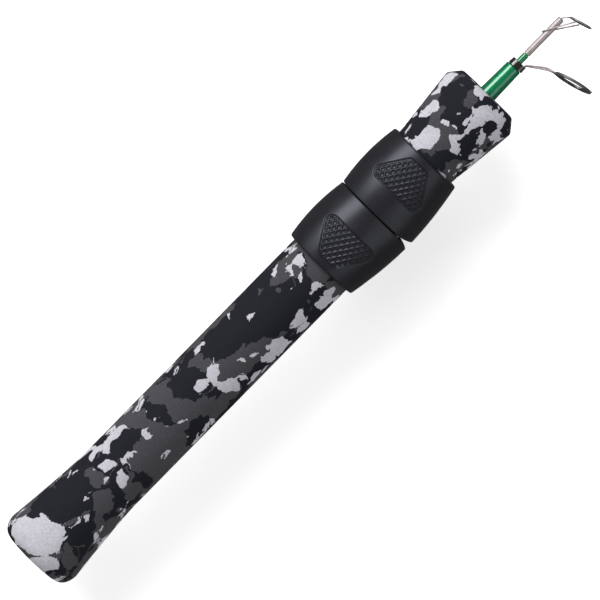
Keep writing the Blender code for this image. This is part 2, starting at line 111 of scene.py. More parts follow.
# Reel rings
RING_LENGTH = 25.87 * MM
RING_BORE = GRIP_RADIUS + 0.25 * MM
RING_END_RADIUS = 14.7 * MM
RING_BULGE = 1.14 * MM
HOOD_RISE = 2.75 * MM
HOOD_POWER = 1.75
HOOD_HALF_ANGLE = math.radians(75)
POCKET_DEPTH = 3.1 * MM
POCKET_START = 0.15
POCKET_POWER = 1.3
POCKET_HALF_ANGLE = math.radians(50)
MOUTH_RELIEF = 1.3 * MM
RELIEF_HALF_ANGLE = math.radians(42)
RING_EDGE = 0.7 * MM
MOUTH_EDGE = 0.25 * MM
BORE_EDGE = 0.35 * MM
RING_COARSE_STEPS = 26  # round the ring, between the two pads
REAR_RING_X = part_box("rear_reel_ring")[0].x
FRONT_RING_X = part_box("front_reel_ring")[1].x
PAD_CORNER = 2.9 * MM  # the grip pad is a trapezoid with round corners
PAD_WIDE_END = (12.1 * MM, 8.0 * MM)  # a corner's centre: from the mouth, and across
PAD_NARROW_END = (20.3 * MM, 2.4 * MM)
PAD_SHIFT = 0.6 * MM  # towards the hood
PAD_EDGE = 0.14 * MM  # half the width of the step down to the pad
PAD_MARGIN = 0.5 * MM  # of fine mesh outside the pad
PAD_HALF_ANGLE = math.radians(50)  # of fine mesh, round the ring
PAD_GROOVE = 0.25 * MM  # depth of the groove round the pad
GROOVE_PLACE = 0.35 * MM  # inside the pad's edge
GROOVE_HALF_WIDTH = 0.4 * MM
RIDGE_DEPTH = 0.16 * MM  # the ridges between the pits lie this far under the ring's surface
PIT_DEPTH = 0.4 * MM
PIT_WALL = (0.95, 0.38)  # a pit's wall goes down between these parts of the way from its middle to the ridge
PIT_BORDER = (-0.5 * MM, -0.8 * MM)  # the pits set in between these distances inside the pad's edge
PIT_SPACING = 1.78 * MM
PIT_ANGLE = math.radians(33)
PIT_STEPS = 16  # mesh steps in one repeat of the pits, so that the ridges run through the vertices
PAD_STEP = PIT_SPACING / math.sin(PIT_ANGLE) / PIT_STEPS  # along the ring
PAD_STEP_ANGLE = PIT_SPACING / math.cos(PIT_ANGLE) / PIT_STEPS / RING_END_RADIUS  # round it

# Outer section and its guide
GUIDE_TURN = math.radians(27)
GUIDE_TILT = math.radians(16.2)
OUTER_RADIUS = 3.4 * MM
OUTER_BORE = 2.6 * MM
OUTER_START = 13.0 * MM
OUTER_TAPER_X = 225.0 * MM
OUTER_TIP_RADIUS = 3.0 * MM
OUTER_TIP_EDGE = 0.25 * MM
OUTER_EDGE = 0.15 * MM
NECK_X = 241.3 * MM
NECK_RADIUS = 2.2 * MM
NECK_BORE = 1.75 * MM
NECK_BORE_X = 237.3 * MM
NECK_TAPER_LENGTH = 2 * MM
OUTER_END = 243.8 * MM
GUIDE_X = 251.8 * MM
GUIDE_HEIGHT = 20.8 * MM
BINDING_START = 241.4 * MM
BINDING_END = 243.9 * MM
BINDING_RADIUS = 2.75 * MM
BINDING_TIP_RADIUS = 2.55 * MM
BINDING_EDGE = 0.15 * MM
BINDING_STEPS = 60
BINDING_BUMP_RADIUS = 3.45 * MM
BINDING_BUMP_HALF_ANGLE = math.radians(60)
THREAD_SIZE = 0.24 * MM
THREAD_RELIEF = 0.008 * MM
FOOT_START = 241.6 * MM
FOOT_END = 244.5 * MM
FOOT_RADIUS = 2.85 * MM
FOOT_WIDTH = 1.5 * MM
FOOT_THICKNESS = 0.5 * MM
FOOT_EDGE = 0.15 * MM
ARM_WIRE = 0.32 * MM
ARM_START = FOOT_END - 1.2 * MM
ARM_BEND_RADIUS = 3.0 * MM
ARM_SPREAD_AT_FOOT = 0.42 * MM
ARM_SPREAD_AT_BEND = 1.6 * MM
ARM_SPREAD_AT_HOOP = 2.2 * MM
ARM_BEND_X = 249.4 * MM
ARM_BEND_HEIGHT = 10.4 * MM
HOOP_OUTER = 7.2 * MM
HOOP_WALL = 0.45 * MM
HOOP_WIDTH = 0.9 * MM
HOOP_TAB = 0.8 * MM
HOOP_TAB_WIRE = 0.3 * MM
INSERT_WALL = 1.1 * MM
INSERT_WIDTH = 1.1 * MM
INSERT_SHIFT = 0.05 * MM

# Tip section and its tip-top
TIP_TURN = math.radians(11)
TIP_START = 13.0 * MM
TIP_RADIUS = 1.6 * MM
TIP_NOSE_RADIUS = 1.2 * MM
TIP_SPIGOT_RADIUS = 0.8 * MM
TIP_END = 261.5 * MM
TIP_TAPER_X = TIP_START + 20 * MM
TIP_EDGE = 0.1 * MM
TOP_TUBE_START = 247.6 * MM
TOP_TUBE_END = 265.0 * MM
TOP_TUBE_RADIUS = 1.25 * MM
TOP_TUBE_BORE = 0.95 * MM
TOP_TUBE_CHAMFER = 0.4 * MM
TOP_TUBE_EDGE = 0.15 * MM
TOP_PLUG_X = TOP_TUBE_END - 2.5 * MM  # the tube's end is closed round the stem from here on
TOP_X = 268.5 * MM
TOP_HEIGHT = 5.9 * MM
TOP_HOOP_OUTER = 4.35 * MM
TOP_HOOP_WALL = 0.4 * MM
TOP_HOOP_WIDTH = 0.6 * MM
TOP_INSERT_WALL = 0.4 * MM
TOP_INSERT_WIDTH = 0.8 * MM
BRACE_WIRE = 0.28 * MM
BRACE_X = 257.0 * MM
BRACE_END_ANGLE = math.radians(76)
BRACE_STEPS = 16
STEM_WIRE = 0.3 * MM
STEM_START = TOP_PLUG_X + 0.2 * MM
STEM_BEND_X = TOP_TUBE_END + 0.5 * MM
STEM_BEND_RADIUS = 0.8 * MM

# Camera, floor and light, in metres and watts
ROD_ANGLE = math.radians(45.55)  # the rod's slope in the picture
LEAN = math.radians(3.5)
DISTANCE = 2.2
FRAME_WIDTH = 0.210
SENSOR_WIDTH = 36.0  # mm
TARGET = Vector((0.1308, -0.0036, 0.0))
FLOOR_Z = -0.0295  # the guide clears the floor at every turn of the sections
FLOOR_SIZE = 4.0
FLOOR_GLOW = 0.4
LIGHT_TARGET = Vector((0.13, 0.0, 0.0))
WORLD_STRENGTH = 0.10
WHITE = (1.0, 1.0, 1.0, 1.0)


# ---------- materials ----------


def node(tree, kind, settings=None, **inputs):
    """A shader node.

    Inputs are values or sockets, by socket name with _ for a space, or by number as i0, i1 and so on.
    """
    made = tree.nodes.new(kind)
    for key, value in (settings or {}).items():
        setattr(made, key, value)
    for key, value in inputs.items():
        socket = made.inputs[int(key[1:]) if key[1:].isdigit() else key.replace("_", " ")]
        if isinstance(value, bpy.types.NodeSocket):
            tree.links.new(value, socket)
        else:
            socket.default_value = value
    return made


def new_material(name, **inputs):
    """A material, its node tree and its shader. Inputs are the shader's constants."""
    made = bpy.data.materials.new(name)
    made.use_nodes = True
    tree = made.node_tree
    shader = tree.nodes["Principled BSDF"]
    for key, value in inputs.items():
        shader.inputs[key.replace("_", " ")].default_value = value
    return made, tree, shader


def millimetres(tree, stretch=(1.0, 1.0, 1.0)):
    """The piece's own coordinates in millimetres."""
    place = node(tree, "ShaderNodeTexCoord").outputs["Object"]
    scale = tuple(1000.0 * s for s in stretch)  # millimetres in a metre
    return node(tree, "ShaderNodeVectorMath", {"operation": "MULTIPLY"}, i0=place, i1=scale).outputs[0]


def noise(tree, vector, size, detail=2.0, roughness=0.5, output="Fac"):
    made = node(tree, "ShaderNodeTexNoise", Vector=vector, Scale=1.0 / size, Detail=detail, Roughness=roughness)
    return made.outputs[output]


def moved(tree, vector, offset):
    return node(tree, "ShaderNodeVectorMath", {"operation": "ADD"}, i0=vector, i1=offset).outputs[0]


def warped(tree, vector, size, amount, detail=2.0):
    """The vector pushed about by noise."""
    push = moved(tree, noise(tree, vector, size, detail, 0.55, "Color"), (-0.5, -0.5, -0.5))
    scaled = node(tree, "ShaderNodeVectorMath", {"operation": "SCALE"}, i0=push, Scale=amount).outputs[0]
    return moved(tree, vector, scaled)


def ramp(tree, factor, stops):
    """A colour that goes through the stops, each a position and a colour."""
    made = node(tree, "ShaderNodeValToRGB", Fac=factor)
    band = made.color_ramp
    while len(band.elements) < len(stops):
        band.elements.new(0.5)
    for element, (position, colour) in zip(band.elements, stops):
        element.position = position
        element.color = (*colour, 1.0)
    return made.outputs["Color"]


def spread(tree, factor, low, high):
    """Maps 0..1 to low..high."""
    return node(tree, "ShaderNodeMapRange", Value=factor, To_Min=low, To_Max=high).outputs["Result"]


def math_node(tree, operation, a, b=0.0):
    return node(tree, "ShaderNodeMath", {"operation": operation}, i0=a, i1=b).outputs[0]


def mix(tree, factor, a, b, blend="MIX"):
    made = node(tree, "ShaderNodeMix", {"data_type": "RGBA", "blend_type": blend}, i0=factor, i6=a, i7=b)
    return made.outputs[2]


def dress(tree, shader, colour, roughness, height, strength, distance):
    """Links a shader's colour, roughness and bump."""
    relief = node(tree, "ShaderNodeBump", Strength=strength, Distance=distance, Height=height)
    tree.links.new(colour, shader.inputs["Base Color"])
    tree.links.new(roughness, shader.inputs["Roughness"])
    tree.links.new(relief.outputs["Normal"], shader.inputs["Normal"])


def cells(tree, vector, size, offset, feature="F1", output="Color"):
    place = moved(tree, vector, offset)
    made = node(tree, "ShaderNodeTexVoronoi", {"feature": feature}, Vector=place, Scale=1.0 / size)
    return made.outputs[output]


def share(tree, vector, size, offset, part):
    """1 in the given part of the chips, 0 in the others."""
    value = node(tree, "ShaderNodeSeparateColor", Color=cells(tree, vector, size, offset)).outputs["Red"]
    return math_node(tree, "LESS_THAN", value, part)


def patch(tree, vector, x, y, length, width, tilt):
    """1 in an oval on the upper side of the grip, in millimetres. The tilt is in degrees from X."""
    place = {
        "Location": (x, y, PATCH_HEIGHT),
        "Rotation": (0.0, 0.0, math.radians(tilt)),
        "Scale": (length / 2, width / 2, PATCH_REACH),
    }
    local = node(tree, "ShaderNodeMapping", {"vector_type": "TEXTURE"}, Vector=vector, **place).outputs[0]
    distance = node(tree, "ShaderNodeVectorMath", {"operation": "LENGTH"}, i0=local).outputs["Value"]
    return math_node(tree, "LESS_THAN", distance, 1.0)


BLACK_CHIP = (0.0085, 0.0093, 0.0138)
GREY_CHIP = (0.0480, 0.0470, 0.0535)
LIGHT_CHIP = (0.425, 0.415, 0.455)
PATCH_HEIGHT = 13.0  # mm above the axis, near the grip's upper surface
PATCH_REACH = 11.0  # mm down from there, so that a patch ends before the underside
PATCHES = [  # the chips placed one by one on the upper side, in painting order: chip, x, y, length, width, tilt
    (GREY_CHIP, 5, 0, 16, 13, 130),
    (LIGHT_CHIP, 9, 5, 20, 15, 127),
    (LIGHT_CHIP, 2.5, -4, 11, 6, 133),
    (GREY_CHIP, 10.5, -9.5, 10, 4.5, 60),
    (BLACK_CHIP, 19, 12.5, 16, 7, 12),
    (BLACK_CHIP, 28, 5, 26, 15, 170),
    (BLACK_CHIP, 37, 11.5, 15, 7, 0),
    (LIGHT_CHIP, 43.5, 10, 10, 2.4, 0),
    (GREY_CHIP, 37.3, 4.3, 8.5, 5, 101),
    (GREY_CHIP, 33, -3.5, 8.5, 7, 44),
    (GREY_CHIP, 42.5, -8.4, 9.5, 7, 44),
    (BLACK_CHIP, 48.5, -7.5, 9, 5, 60),
    (BLACK_CHIP, 50, -1.5, 11, 5.5, 123),
    (LIGHT_CHIP, 43.5, -3, 6, 5, 30),
    (LIGHT_CHIP, 51, 8.3, 13, 6, 7),
    (LIGHT_CHIP, 54, 0, 14, 10, 160),
    (BLACK_CHIP, 53, 5, 13, 8.5, 165),
    (GREY_CHIP, 57, -4, 17, 12, 166),
    (GREY_CHIP, 76, 1, 20, 12, 126),
    (BLACK_CHIP, 68.5, 3.6, 13, 5.5, 110),
    (BLACK_CHIP, 83, 4, 14, 12, 150),
    (BLACK_CHIP, 112, 3, 40, 18, 158),
    (LIGHT_CHIP, 93, -4, 14, 9, 103),
    (GREY_CHIP, 103, -4, 24, 8, 170),
    (LIGHT_CHIP, 113, -10, 16, 5, 171),
    (LIGHT_CHIP, 137, -10, 11, 4, 7),
    (GREY_CHIP, 207, 1, 12, 9, 22),
    (LIGHT_CHIP, 202, 4, 12, 6, 166),
    (BLACK_CHIP, 202, -5, 12, 6, 154),
    (GREY_CHIP, 202.5, -10, 9, 5, 169),
    (LIGHT_CHIP, 197.8, -8.6, 5, 1.8, 90),
    (LIGHT_CHIP, 209.6, -13, 8, 4, 0),
    (LIGHT_CHIP, 208.5, -4.5, 7, 5, 23),
    (GREY_CHIP, 212, 13, 14, 5, 160),
    (LIGHT_CHIP, 211, 10.5, 10, 3.5, 158),
    (LIGHT_CHIP, 222, 14.5, 11, 4, 165),
    (BLACK_CHIP, 221, 8, 15, 11, 146),
    (GREY_CHIP, 224.8, 11.6, 7, 3.4, 160),
    (LIGHT_CHIP, 221.5, 13.8, 12, 2.8, 168),
    (LIGHT_CHIP, 222, -5, 11, 6.5, 150),
    (BLACK_CHIP, 224.5, -0.9, 9, 4, 127),
    (GREY_CHIP, 222.5, 3, 7, 4, 20),
    (LIGHT_CHIP, 227.4, 1.6, 6.5, 3, 109),
    (BLACK_CHIP, 226, -11.5, 9, 8, 90),
    (LIGHT_CHIP, 222.5, -10, 11, 4.5, 27),
    (BLACK_CHIP, 224, -14.3, 8, 4, 35),
    (BLACK_CHIP, 221, -8.5, 6, 4.5, 0),
    (BLACK_CHIP, 212, -6.5, 9, 5, 16),
    (BLACK_CHIP, 215, 0.5, 7, 4.5, 100),
    (LIGHT_CHIP, 211.7, 2.8, 4.2, 3, 90),
    (LIGHT_CHIP, 215, -4, 6.5, 3, 178),
    (LIGHT_CHIP, 215.7, -9.2, 6.5, 3.2, 34),
    # painted shade: a black patch where the foam shows through the gap between the rings, darkening it as the
    # gap's shade does
    (BLACK_CHIP, 171, -3, 24, 14, 90),
]


def foam_material():
    """Foam pressed from black, dark grey and light grey chips, then turned and sanded."""
    made, tree, shader = new_material("camo_foam", Specular_IOR_Level=0.2)
    plain = millimetres(tree)
    flow = warped(tree, warped(tree, millimetres(tree, (0.75, 1.0, 1.0)), 13.0, 11.0), 3.6, 3.4, 3.0)
    torn = warped(tree, flow, 2.2, 3.0, 2.0)
    black, dark, light = (*BLACK_CHIP, 1.0), (*GREY_CHIP, 1.0), (*LIGHT_CHIP, 1.0)
    colour = mix(tree, share(tree, flow, 11.0, (3.0, 11.0, 5.0), 0.30), black, dark)
    colour = mix(tree, share(tree, torn, 6.5, (23.0, 31.0, 3.0), 0.13), colour, dark)
    colour = mix(tree, share(tree, flow, 8.5, (41.0, 7.0, 23.0), 0.06), colour, light)
    colour = mix(tree, share(tree, torn, 3.8, (13.0, 5.0, 47.0), 0.11), colour, light)
    edge = cells(tree, flow, 12.0, (9.0, 2.0, 31.0), "DISTANCE_TO_EDGE", "Distance")
    seam = math_node(tree, "LESS_THAN", edge, 0.013)
    thin = math_node(tree, "GREATER_THAN", noise(tree, plain, 9.0), 0.52)
    colour = mix(tree, math_node(tree, "MULTIPLY", seam, thin), colour, dark)
    ragged = warped(tree, warped(tree, plain, 5.0, 6.0, 1.0), 1.8, 2.4, 2.0)
    for chip, *shape in PATCHES:
        colour = mix(tree, patch(tree, ragged, *shape), colour, (*chip, 1.0))
    colour = mix(tree, share(tree, torn, 1.9, (7.0, 19.0, 11.0), 0.022), colour, light)
    grain = noise(tree, plain, 0.42, 2.0, 0.7)
    cloud = noise(tree, plain, 5.0, 3.0, 0.6)
    shade = math_node(tree, "MULTIPLY", spread(tree, grain, 0.45, 1.55), spread(tree, cloud, 0.85, 1.15))
    colour = mix(tree, 1.0, colour, shade, "MULTIPLY")
    pores = node(tree, "ShaderNodeTexVoronoi", Vector=plain, Scale=2.2).outputs["Distance"]
    height = math_node(tree, "ADD", grain, math_node(tree, "MULTIPLY", pores, 0.5))
    dress(tree, shader, colour, spread(tree, cloud, 0.74, 0.95), height, 0.5, 0.05 * MM)
    return made


def plastic_material():
    """Satin moulded plastic with a fine spark-eroded grain."""
    cool = {"Specular_IOR_Level": 0.42, "Specular_Tint": (0.84, 0.89, 1.0, 1.0)}
    made, tree, shader = new_material("black_plastic", **cool)
    place = millimetres(tree)
    cloud = noise(tree, place, 6.0, 3.0)
    grain = noise(tree, place, 0.16, 2.0, 0.6)
    colour = ramp(tree, cloud, [(0.3, (0.0105, 0.0102, 0.0130)), (0.7, (0.0135, 0.0131, 0.0162))])
    dress(tree, shader, colour, spread(tree, cloud, 0.30, 0.42), grain, 0.35, 0.02 * MM)
    return made


def lacquer_material():
    """Metallic green lacquer with fine flakes under a clear coat."""
    coat = {"Coat_Weight": 1.0, "Coat_Roughness": 0.03, "Coat_IOR": 1.7}
    made, tree, shader = new_material("green_lacquer", Metallic=0.5, Specular_IOR_Level=0.1, **coat)
    place = millimetres(tree)
    flakes = node(tree, "ShaderNodeTexVoronoi", Vector=place, Scale=9.0)
    value = node(tree, "ShaderNodeSeparateColor", Color=flakes.outputs["Color"]).outputs["Red"]
    cloud = noise(tree, place, 4.0, 2.0)
    greens = [(0.0, (0.0005, 0.115, 0.042)), (0.6, (0.0010, 0.185, 0.075)), (1.0, (0.005, 0.295, 0.125))]
    colour = mix(tree, 1.0, ramp(tree, value, greens), spread(tree, cloud, 0.9, 1.1), "MULTIPLY")
    dress(tree, shader, colour, spread(tree, value, 0.42, 0.56), value, 0.05, 0.01 * MM)
    return made


def binding_material():
    """Black thread under clear varnish."""
    made, tree, shader = new_material("black_lacquer", Coat_Weight=1.0, Coat_Roughness=0.04, Coat_IOR=1.7)
    place = millimetres(tree, (1.0, 0.15, 0.15))
    fibre = noise(tree, place, 0.08, 3.0, 0.6)
    colour = ramp(tree, fibre, [(0.3, (0.004, 0.0035, 0.0035)), (0.7, (0.010, 0.008, 0.008))])
    dress(tree, shader, colour, spread(tree, fibre, 0.25, 0.4), fibre, 0.1, 0.01 * MM)
    return made


def hoop_reflection_mask(tree, turn, x, height, radius):
    """1 at a guide's hoop, 0 a little outside it: where a hoop's painted dark reflection goes."""
    centre = Matrix.Rotation(-turn, 3, "X") @ Vector((x, -height, 0.0)) / MM
    place = millimetres(tree)
    away = node(tree, "ShaderNodeVectorMath", {"operation": "DISTANCE"}, i0=place, i1=centre).outputs["Value"]
    limits = {"From_Min": 1.18 * radius / MM, "From_Max": 1.06 * radius / MM}
    return node(tree, "ShaderNodeMapRange", Value=away, **limits).outputs["Result"]


def steel_material():
    """Stainless wire and tube with fine drawing lines along it. The hoops carry a painted dark reflection: their
    colour is made darker.
    """
    made, tree, shader = new_material("steel", Metallic=0.6)
    lines = noise(tree, millimetres(tree, (0.05, 1.0, 1.0)), 0.12, 2.0)
    stain = noise(tree, millimetres(tree), 2.5, 3.0)
    colour = ramp(tree, stain, [(0.3, (0.38, 0.325, 0.325)), (0.7, (0.48, 0.425, 0.425))])
    # painted dark reflection: the guide's hoop is darkened to stand in for the dark surroundings its polished
    # steel reflects
    guide_hoop_painted_reflection = hoop_reflection_mask(tree, GUIDE_TURN, GUIDE_X, GUIDE_HEIGHT, HOOP_OUTER)
    colour = mix(tree, guide_hoop_painted_reflection, colour, (0.120, 0.112, 0.118, 1.0))
    # painted dark reflection on the tip-top's hoop too, a little lighter than on the guide's
    top_hoop = hoop_reflection_mask(tree, TIP_TURN, TOP_X, TOP_HEIGHT, TOP_HOOP_OUTER)
    colour = mix(tree, top_hoop, colour, (0.230, 0.205, 0.210, 1.0))
    dress(tree, shader, colour, spread(tree, lines, 0.42, 0.54), lines, 0.12, 0.01 * MM)
    return made


def ceramic_material():
    """Polished dark ceramic."""
    made, tree, shader = new_material("ring_ceramic", Coat_Weight=0.5, Coat_Roughness=0.05)
    place = millimetres(tree)
    cloud = noise(tree, place, 0.8, 3.0)
    colour = ramp(tree, cloud, [(0.3, (0.018, 0.018, 0.021)), (0.7, (0.034, 0.034, 0.038))])
    dress(tree, shader, colour, spread(tree, cloud, 0.10, 0.18), noise(tree, place, 0.1), 0.05, 0.01 * MM)
    return made


def rubber_material():
    """Matte rubber with a little dust."""
    made, tree, shader = new_material("black_rubber", Specular_IOR_Level=0.3)
    place = millimetres(tree)
    dust = noise(tree, place, 0.9, 4.0, 0.6)
    colour = ramp(tree, dust, [(0.35, (0.012, 0.012, 0.012)), (0.75, (0.030, 0.029, 0.028))])
    dress(tree, shader, colour, spread(tree, dust, 0.7, 0.9), noise(tree, place, 0.15), 0.3, 0.03 * MM)
    return made


def nylon_material():
    """Natural nylon."""
    made, tree, shader = new_material("nylon", Subsurface_Weight=0.15, Subsurface_Scale=0.002)
    place = millimetres(tree, (0.2, 1.0, 1.0))
    cloud = noise(tree, place, 1.5, 3.0)
    colour = ramp(tree, cloud, [(0.3, (0.70, 0.68, 0.61)), (0.7, (0.80, 0.785, 0.73))])
    dress(tree, shader, colour, spread(tree, cloud, 0.4, 0.55), noise(tree, place, 0.2), 0.15, 0.02 * MM)
    return made


def fibre_material():
    """Bare glass fibre with the turns of its wrapping tape."""
    made, tree, shader = new_material("glass_fibre")
    bands = {"Vector": millimetres(tree), "Scale": 0.1, "Distortion": 1.0}
    turns = node(tree, "ShaderNodeTexWave", {"bands_direction": "X"}, **bands).outputs["Fac"]
    weave = noise(tree, millimetres(tree, (0.1, 1.0, 1.0)), 0.3, 3.0)
    colour = ramp(tree, weave, [(0.3, (0.22, 0.23, 0.19)), (0.7, (0.36, 0.36, 0.32))])
    dress(tree, shader, colour, spread(tree, weave, 0.4, 0.6), turns, 0.3, 0.04 * MM)
    return made


MATERIALS = {
    "camo_foam": foam_material(),
    "black_plastic": plastic_material(),
    "green_lacquer": lacquer_material(),
    "black_lacquer": binding_material(),
    "steel": steel_material(),
    "ring_ceramic": ceramic_material(),
    "black_rubber": rubber_material(),
    "nylon": nylon_material(),
    "glass_fibre": fibre_material(),
}


# ---------- shapes ----------


def make_object(name, bm, slot):
    bmesh.ops.recalc_face_normals(bm, faces=bm.faces)
    mesh = bpy.data.meshes.new(name)
    bm.to_mesh(mesh)
    bm.free()
    mesh.shade_smooth()
    mesh.set_sharp_from_angle(angle=SHARP_ANGLE)
    mesh.materials.append(MATERIALS[slot])
    made = bpy.data.objects.new(name, mesh)
    bpy.context.scene.collection.objects.link(made)
    return made


def add_piece(name, bm, slot, body, cad_node, turn=0.0):
    """A visible piece that stands for one CAD node, turned up about the rod's axis."""
    bm.transform(Matrix.Rotation(-turn, 4, "X"))
    made = make_object(name, bm, slot)
    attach(made, body)
    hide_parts(cad_node)
    return made


def combine(base, others, operation="UNION"):
    """Joins the other objects to the base, or cuts them from it, into one clean mesh."""
    for other in others:
        modifier = base.modifiers.new("combine", "BOOLEAN")
        modifier.operation = operation
        modifier.solver = "EXACT"
        modifier.object = other
    bpy.context.view_layer.update()
    result = bpy.data.meshes.new_from_object(base.evaluated_get(bpy.context.evaluated_depsgraph_get()))
    base.modifiers.clear()
    base.data = result
    for other in others:
        bpy.data.objects.remove(other)
    bm = bmesh.new()
    bm.from_mesh(result)
    bmesh.ops.remove_doubles(bm, verts=bm.verts, dist=WELD_DISTANCE)
    bm.to_mesh(result)
    bm.free()
    result.shade_smooth()
    result.set_sharp_from_angle(angle=SHARP_ANGLE)


def soften(outline, radius, steps=3):
    """Turns each sharp corner of an outline of (x, radius) points into a small curve.

    An outline that starts on the axis is open, and keeps its two ends.
    """
    closed = outline[0][1] > 0
    points = [Vector(p) for p in outline]
    result = []
    for i, point in enumerate(points):
        if not closed and i in (0, len(points) - 1):
            result.append(tuple(point))
            continue
        before, after = points[i - 1] - point, points[(i + 1) % len(points)] - point
        if before.length < 1e-9 or after.length < 1e-9 or before.angle(after) > SMOOTH_ANGLE:
            result.append(tuple(point))
            continue
        reach = min(radius, 0.4 * before.length, 0.4 * after.length)
        start, end = point + before.normalized() * reach, point + after.normalized() * reach
        for k in range(steps + 1):
            t = k / steps
            result.append(tuple(start * (1 - t) ** 2 + point * 2 * t * (1 - t) + end * t**2))
    return result


def band_faces(bm, loops, closed):
    """Faces between neighbouring rings of vertices. A ring of one vertex is a pole."""
    pairs = list(zip(loops, loops[1:])) + ([(loops[-1], loops[0])] if closed else [])
    for a, b in pairs:
        count = max(len(a), len(b))
        for k in range(count):
            n = (k + 1) % count
            corners = [a[k % len(a)], a[n % len(a)], b[n % len(b)], b[k % len(b)]]
            bm.faces.new(list(dict.fromkeys(corners)))


def lathe(outline, segments=MEDIUM, reshape=None):
    """Turns an outline round X. Reshape, where given, changes a radius by (x, radius, angle)."""
    bm = bmesh.new()
    loops = []
    for x, r in outline:
        if r < POLE_RADIUS:
            loops.append([bm.verts.new((x, 0, 0))])
            continue
        loop = []
        for k in range(segments):
            angle = 2 * math.pi * k / segments
            radius = reshape(x, r, angle) if reshape else r
            loop.append(bm.verts.new((x, -radius * math.cos(angle), radius * math.sin(angle))))
        loops.append(loop)
    band_faces(bm, loops, outline[0][1] > 0)
    return bm


def wire(path, radius, segments=14):
    """A round wire along a path, with rounded ends."""
    bm = bmesh.new()
    loops = []
    side = (path[1] - path[0]).orthogonal().normalized()
    last = len(path) - 1
    turn = [2 * math.pi * k / segments for k in range(segments)]
    for i, point in enumerate(path):
        ahead = (path[min(i + 1, last)] - path[max(i - 1, 0)]).normalized()
        side = (side - ahead * side.dot(ahead)).normalized()
        other = ahead.cross(side)
        sizes = [(0.0, radius)]
        if i == 0:
            sizes = [(-radius * math.sin(a), radius * math.cos(a)) for a in reversed(WIRE_END_ANGLES)]
        elif i == last:
            sizes = [(radius * math.sin(a), radius * math.cos(a)) for a in WIRE_END_ANGLES]
        for shift, size in sizes:
            centre = point + ahead * shift
            around = [(side * math.cos(t) + other * math.sin(t)) * size for t in turn]
            loops.append([bm.verts.new(centre + spoke) for spoke in around])
    band_faces(bm, loops, False)
    bm.faces.new(loops[0])
    bm.faces.new(loops[-1])
    return bm


def curved_path(corners, radius, steps=8):
    """The corners' polyline with each inner corner turned into a curve that starts radius before it."""
    path = [corners[0]]
    for before, corner, after in zip(corners, corners[1:], corners[2:]):
        reach = min(radius, 0.49 * (before - corner).length, 0.49 * (after - corner).length)
        start = corner + (before - corner).normalized() * reach
        end = corner + (after - corner).normalized() * reach
        for k in range(steps + 1):
            t = k / steps
            path.append(start * (1 - t) ** 2 + corner * 2 * t * (1 - t) + end * t**2)
    return path + [corners[-1]]


def rod_point(x, height, side=0.0):
    return Vector((x, -height, side))


def eye_point(x, height, radius, angle, forward=0.0):
    """A point of an eye's circle: angle 0 is nearest the rod. Forward is along the eye's own axis."""
    up = -radius * math.cos(angle)
    along = math.cos(GUIDE_TILT) * forward + math.sin(GUIDE_TILT) * up
    rise = math.cos(GUIDE_TILT) * up - math.sin(GUIDE_TILT) * forward
    return rod_point(x + along, height + rise, radius * math.sin(angle))


def hump(value, half_width):
    """1 at 0, easing to 0 at the half width and beyond, to both sides."""
    if abs(value) >= half_width:
        return 0.0
    return 0.5 + 0.5 * math.cos(math.pi * value / half_width)


def blend_in(value, start, end):
    """0 at start, easing to 1 at end."""
    t = min(1.0, max(0.0, (value - start) / (end - start)))
    return t * t * (3 - 2 * t)


# ---------- grip ----------


def grip_outline():
    """The foam's section: the outside from butt to nose, then the bore back to the butt."""
    outside = []
    for k in range(13):
        angle = k * math.pi / 24
        x = BUTT_WIDEST_X - (BUTT_WIDEST_X - GRIP_START) * math.cos(angle)
        outside.append((x, BUTT_FACE_RADIUS + (BUTT_RADIUS - BUTT_FACE_RADIUS) * math.sin(angle)))
    for k in range(1, 21):
        u = k / 20
        x = BUTT_WIDEST_X + (BUTT_FLARE_END_X - BUTT_WIDEST_X) * u
        outside.append((x, GRIP_RADIUS + (BUTT_RADIUS - GRIP_RADIUS) * (1 - u) ** BUTT_FLARE_POWER))
    slope = (NOSE_RADIUS - GRIP_RADIUS) / (NOSE_WIDEST_X - NOSE_FLARE_X)
    for k in range(7):
        x = NOSE_FLARE_X - NOSE_EASE + 2 * NOSE_EASE * k / 6
        outside.append((x, GRIP_RADIUS + slope * NOSE_EASE * (k / 6) ** 2))
    chamfer = [(NOSE_WIDEST_X, NOSE_RADIUS), (GRIP_END, NOSE_FACE_RADIUS)]
    outside += soften([outside[-1], *chamfer, (GRIP_END, NOSE_HOLE_RADIUS)], NOSE_EDGE, 5)[:-1]
    core = CORE_OUTER + GAP
    counterbore = SLEEVE_OUTER + GAP
    flange_end = FLANGE_LENGTH + GAP
    inside = [
        (GRIP_END, NOSE_HOLE_RADIUS),
        (GRIP_END - NOSE_HOLE_LENGTH, NOSE_HOLE_RADIUS),
        (GRIP_END - NOSE_HOLE_LENGTH, core),
        (SLEEVE_END + GAP, core),
        (SLEEVE_END + GAP, counterbore),
        (flange_end, counterbore),
        (flange_end, FLANGE_RADIUS + GAP),
        (GRIP_START, FLANGE_RADIUS + GAP),
    ]
    return outside + inside


def add_handle():
    add_piece("foam_grip", lathe(grip_outline(), FINE), "camo_foam", "handle", "grip_foam")


# ---------- reel rings ----------


def ring_outer_radius(u, angle):
    """At u from 0 at the ring's outer end to 1 at its mouth, and an angle from the hood's middle."""
    barrel = RING_END_RADIUS + RING_BULGE * 4 * u * (1 - u)
    return barrel + HOOD_RISE * u**HOOD_POWER * hump(angle, HOOD_HALF_ANGLE)


def ring_inner_radius(u, angle):
    depth = POCKET_DEPTH * max(0.0, (u - POCKET_START) / (1 - POCKET_START)) ** POCKET_POWER
    return RING_BORE + depth * hump(angle, POCKET_HALF_ANGLE)


